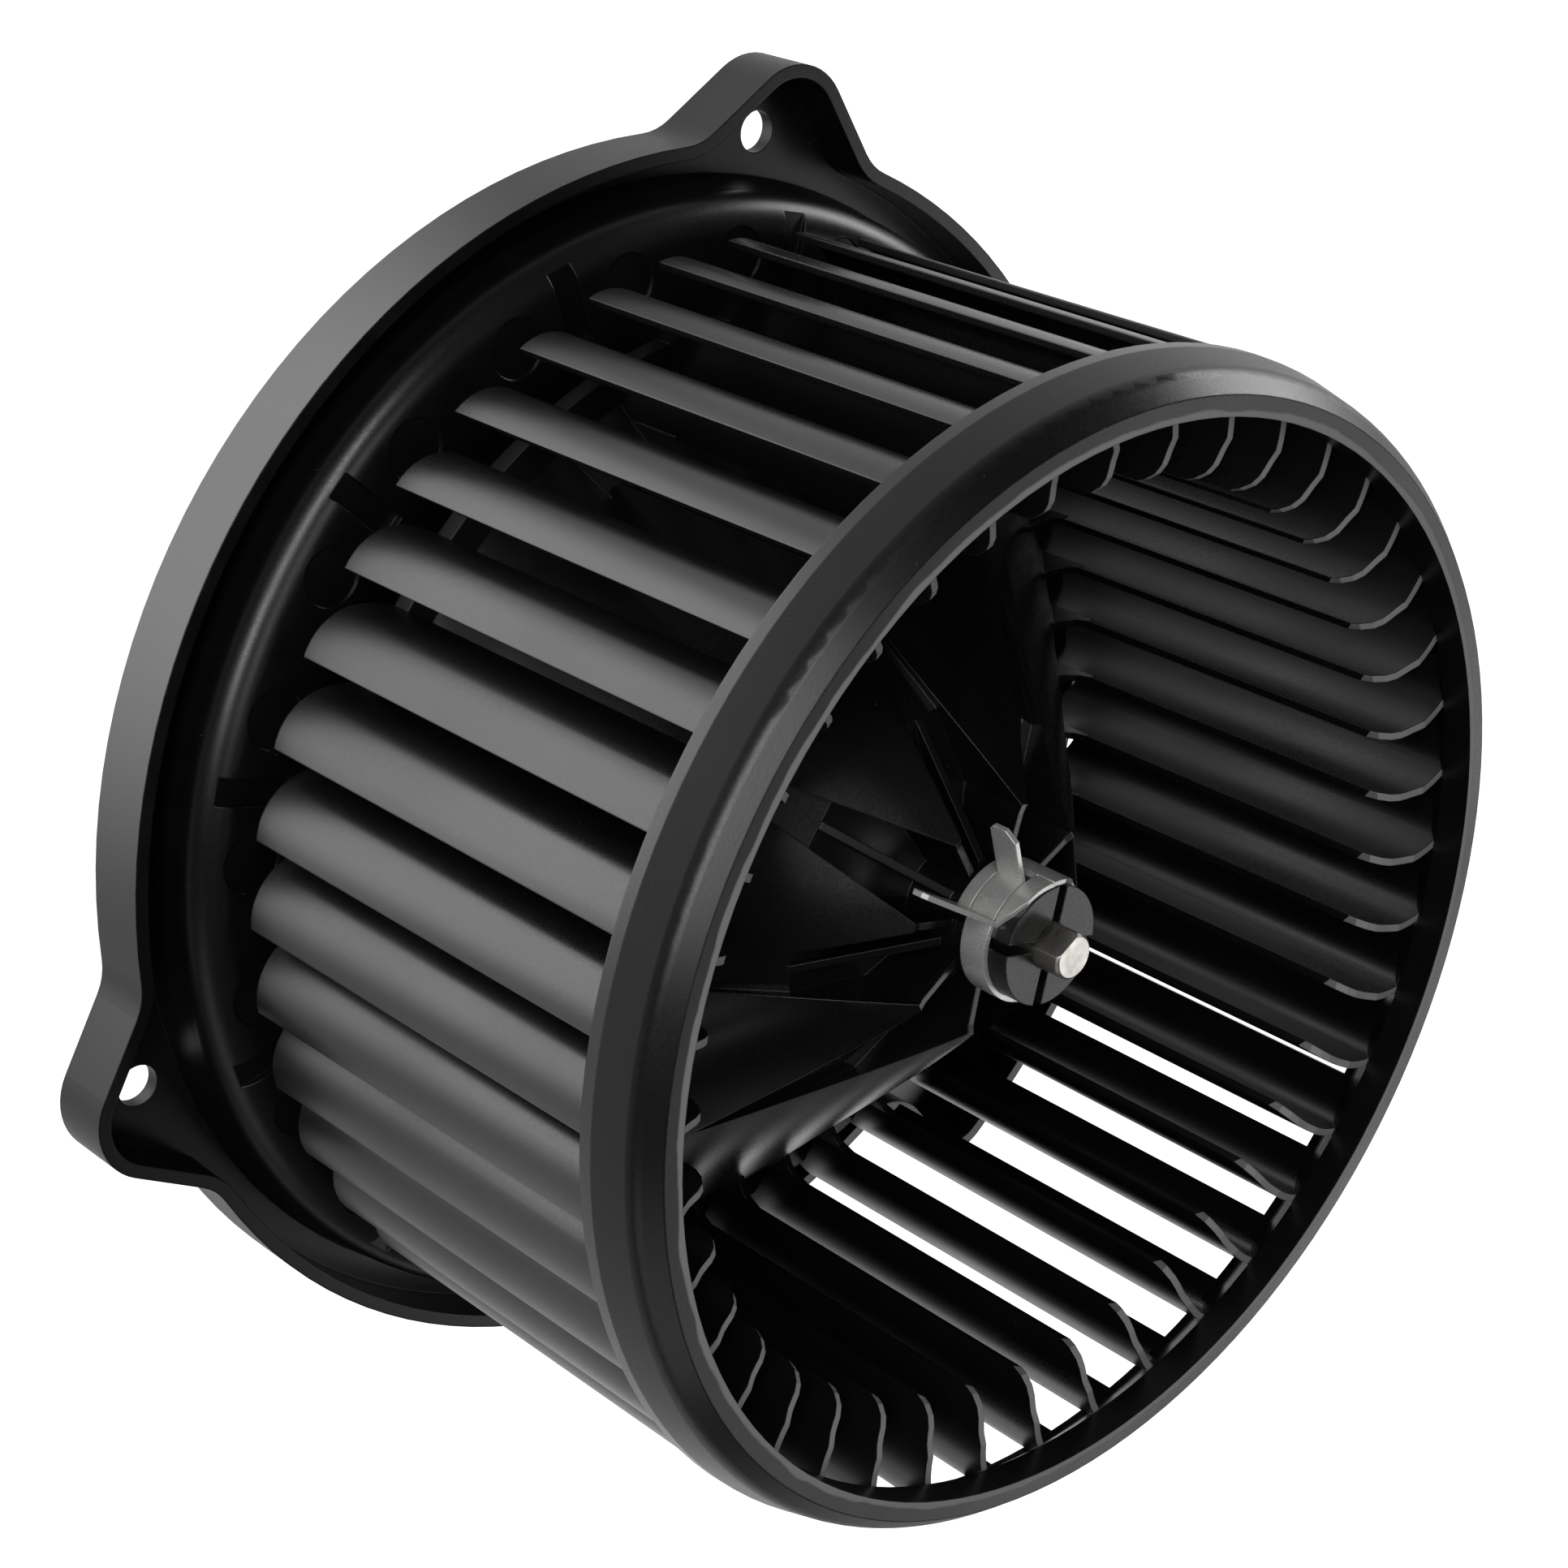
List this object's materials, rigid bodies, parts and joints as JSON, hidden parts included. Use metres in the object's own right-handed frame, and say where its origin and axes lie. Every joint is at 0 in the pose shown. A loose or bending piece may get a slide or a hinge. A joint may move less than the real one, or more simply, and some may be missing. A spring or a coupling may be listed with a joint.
{
  "type": "blower motor wheel",
  "caption": "Heater blower: squirrel-cage wheel with forward-curved blades, clamped on a motor shaft over a round mounting flange with ears.",
  "frame": {"origin": "on the shaft axis, in the plane of the ear floors that the three flange screws clamp", "axes": "+Z along the shaft towards the wheel's inlet, -Y towards the lobe that carries the connector"},
  "size_m": [0.169, 0.192, 0.1433],
  "materials": {
    "flange_plastic": "satin",
    "wheel_plastic": "satin",
    "spring_steel": "zinc plated",
    "shaft_steel": "ground",
    "zinc_sheet": "zinc plated",
    "sintered_bronze": "matte",
    "ferrite": "matte",
    "phenolic": "matte",
    "sheet_brass": "satin",
    "carbon": "matte",
    "copper": "satin",
    "capacitor_coat": "gloss",
    "zinc_screw": "zinc plated",
    "rubber_black": "matte",
    "connector_plastic": "satin",
    "tinned_brass": "satin",
    "lead_red": "satin",
    "lead_black": "satin",
    "laminations": "satin",
    "insulator_green": "satin",
    "nylon": "satin"
  },
  "bodies": {
    "stator": {"mounting_flange": "flange_plastic", "cooling_duct": "flange_plastic", "motor_can": "zinc_sheet", "end_cap": "zinc_sheet", "front_bearing": "sintered_bronze", "rear_bearing": "sintered_bronze", "front_bearing_retainer": "spring_steel", "rear_bearing_retainer": "spring_steel", "magnet_north": "ferrite", "magnet_south": "ferrite", "brush_card": "phenolic", "magnet_clip_a": "spring_steel", "magnet_clip_b": "spring_steel", "brush_holder_a": "sheet_brass", "brush_holder_b": "sheet_brass", "brush_a": "carbon", "brush_b": "carbon", "brush_spring_a": "spring_steel", "brush_spring_b": "spring_steel", "pigtail_a": "copper", "pigtail_b": "copper", "choke_core_a": "ferrite", "choke_core_b": "ferrite", "choke_coil_a": "copper", "choke_coil_b": "copper", "capacitor": "capacitor_coat", "motor_cover": "flange_plastic", "cover_screw_1": "zinc_screw", "cover_screw_2": "zinc_screw", "cover_screw_3": "zinc_screw", "isolator_top": "rubber_black", "isolator_bottom": "rubber_black", "connector_housing": "connector_plastic", "terminal_positive": "tinned_brass", "terminal_negative": "tinned_brass", "lead_positive": "lead_red", "lead_negative": "lead_black"},
    "rotor": {"blower_wheel": "wheel_plastic", "hub_spring_clamp": "spring_steel", "shaft": "shaft_steel", "armature_core": "laminations", "armature_windings": "copper", "insulator_front": "insulator_green", "insulator_rear": "insulator_green", "commutator_bars": "copper", "commutator_hub": "phenolic", "thrust_washer_front": "nylon", "thrust_washer_rear": "nylon"}
  },
  "joints": [
    {"name": "wheel_spin", "type": "hinge", "parent": "stator", "child": "rotor", "pos_m": [0, 0, 0], "axis": [0, 0, 1], "continuous": true}
  ]
}
